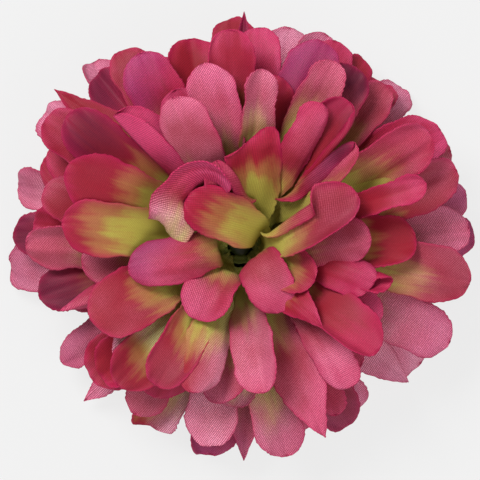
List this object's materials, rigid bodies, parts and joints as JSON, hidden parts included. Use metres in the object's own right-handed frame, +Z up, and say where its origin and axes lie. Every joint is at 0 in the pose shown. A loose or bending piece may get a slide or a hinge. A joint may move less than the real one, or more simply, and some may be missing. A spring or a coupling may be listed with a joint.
{
  "type": "artificial chrysanthemum flower",
  "caption": "Full fabric chrysanthemum head: layered die-cut petal sheets on a plastic peg and calyx, standing face up.",
  "frame": {"origin": "centre of the calyx's flat foot, on the surface that the flower stands on", "axes": "+Z up the flower's axis, out of the heart; +X and +Y across it, +Y towards the top of the view from above"},
  "size_m": [0.1122, 0.1067, 0.0458],
  "materials": {
    "calyx_plastic": "moulded olive-green plastic, semi-matt",
    "peg_plastic": "moulded dark green plastic, semi-matt",
    "petal_fabric": "satin-faced woven petals, dyed olive at the root through crimson to pink, some tips purple"
  },
  "bodies": {
    "root": {"calyx": "calyx_plastic", "centre_peg": "peg_plastic", "petal_sheet_1": "petal_fabric", "petal_sheet_2": "petal_fabric", "petal_sheet_3": "petal_fabric", "petal_sheet_4": "petal_fabric", "petal_sheet_5": "petal_fabric", "petal_sheet_6": "petal_fabric", "petal_sheet_7": "petal_fabric", "petal_sheet_8": "petal_fabric"}
  },
  "joints": []
}
